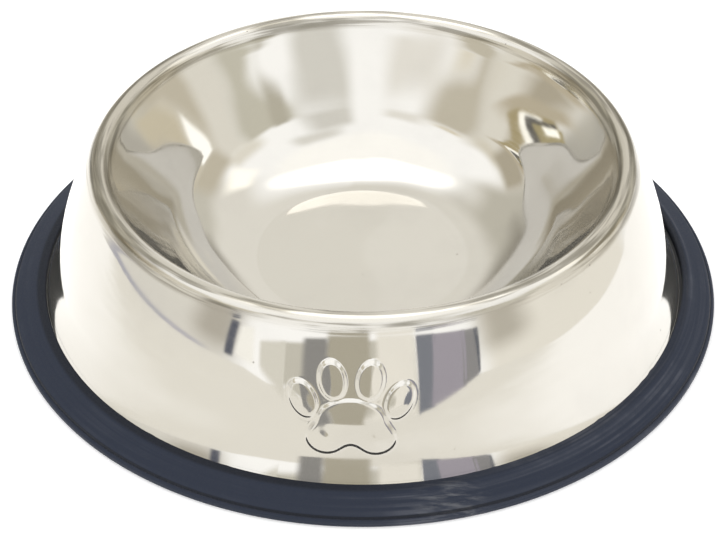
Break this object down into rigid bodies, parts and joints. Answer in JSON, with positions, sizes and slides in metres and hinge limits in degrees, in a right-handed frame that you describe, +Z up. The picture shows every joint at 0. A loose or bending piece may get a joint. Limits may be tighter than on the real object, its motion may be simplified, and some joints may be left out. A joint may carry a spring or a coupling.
{
  "type": "pet bowl",
  "caption": "Low flared pet bowl of polished pressed steel with a rolled rim and a hollow skirt, standing on a non-slip rubber ring gripped round its foot.",
  "frame": {"origin": "middle of the rubber ring's flat underside, on the table", "axes": "+Z up along the bowl's axis, -Y out through the paw emblem on the front of the skirt, +X to the right seen from the front"},
  "size_m": [0.2, 0.2, 0.0454],
  "materials": {
    "polished_steel": "mirror polished stainless steel with fine turning lines round the rim",
    "ring_rubber": "matt moulded rubber, blue black, dusty at the edges"
  },
  "bodies": {
    "root": {"steel_bowl": "polished_steel", "rubber_ring": "ring_rubber"}
  },
  "joints": []
}
